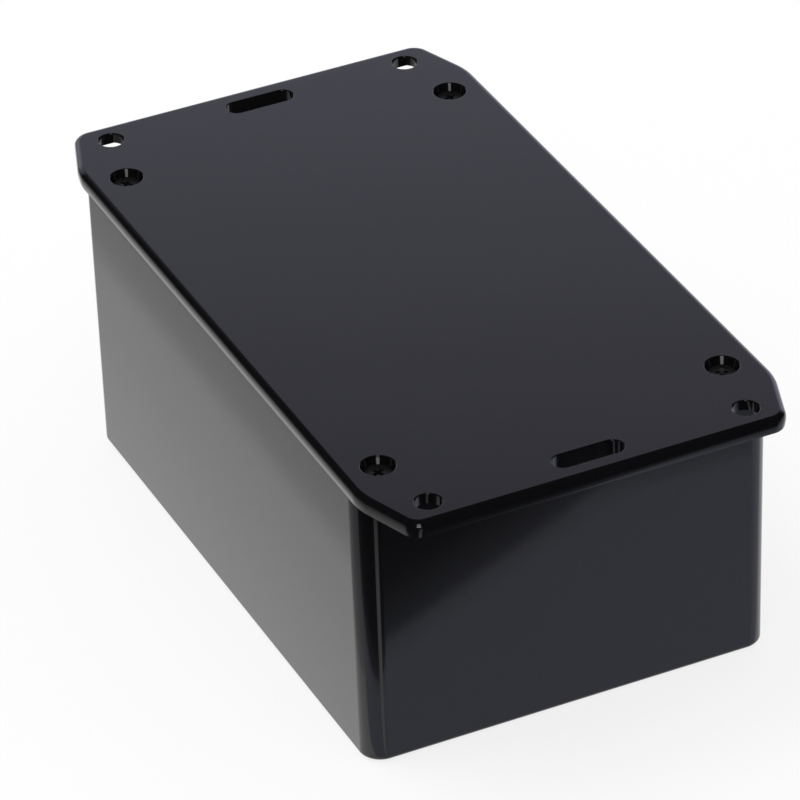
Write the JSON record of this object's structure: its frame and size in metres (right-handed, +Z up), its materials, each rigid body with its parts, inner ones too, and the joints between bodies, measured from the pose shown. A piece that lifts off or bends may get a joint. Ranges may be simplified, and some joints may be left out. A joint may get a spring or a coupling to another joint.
{
  "type": "plastic project box",
  "caption": "Deep black moulded box for electronics, closed by a flat cover whose two flanges carry mounting holes and slots.",
  "frame": {"origin": "middle of the underside of the box, on the surface it stands on", "axes": "+X along the length, towards the front flange; +Y across the width, to the right seen from the front; +Z up through the cover"},
  "size_m": [0.1458, 0.08, 0.0575],
  "materials": {
    "housing_plastic": "glossy black styrene plastic, straight from a polished mould",
    "screw_finish": "blackened steel, satin"
  },
  "bodies": {
    "box_body": {"box_body": "housing_plastic"},
    "lid": {"lid": "housing_plastic"},
    "screw_front_left": {"lid_screw_front_left": "screw_finish"},
    "screw_front_right": {"lid_screw_front_right": "screw_finish"},
    "screw_back_left": {"lid_screw_back_left": "screw_finish"},
    "screw_back_right": {"lid_screw_back_right": "screw_finish"}
  },
  "joints": [
    {"name": "lid_lift", "type": "slide", "parent": "box_body", "child": "lid", "axis": [0, 0, 1], "range_m": [0, 0.07]},
    {"name": "screw_front_left_out", "type": "slide", "parent": "lid", "child": "screw_front_left", "axis": [0, 0, 1], "range_m": [0, 0.014]},
    {"name": "screw_front_right_out", "type": "slide", "parent": "lid", "child": "screw_front_right", "axis": [0, 0, 1], "range_m": [0, 0.014]},
    {"name": "screw_back_left_out", "type": "slide", "parent": "lid", "child": "screw_back_left", "axis": [0, 0, 1], "range_m": [0, 0.014]},
    {"name": "screw_back_right_out", "type": "slide", "parent": "lid", "child": "screw_back_right", "axis": [0, 0, 1], "range_m": [0, 0.014]}
  ]
}
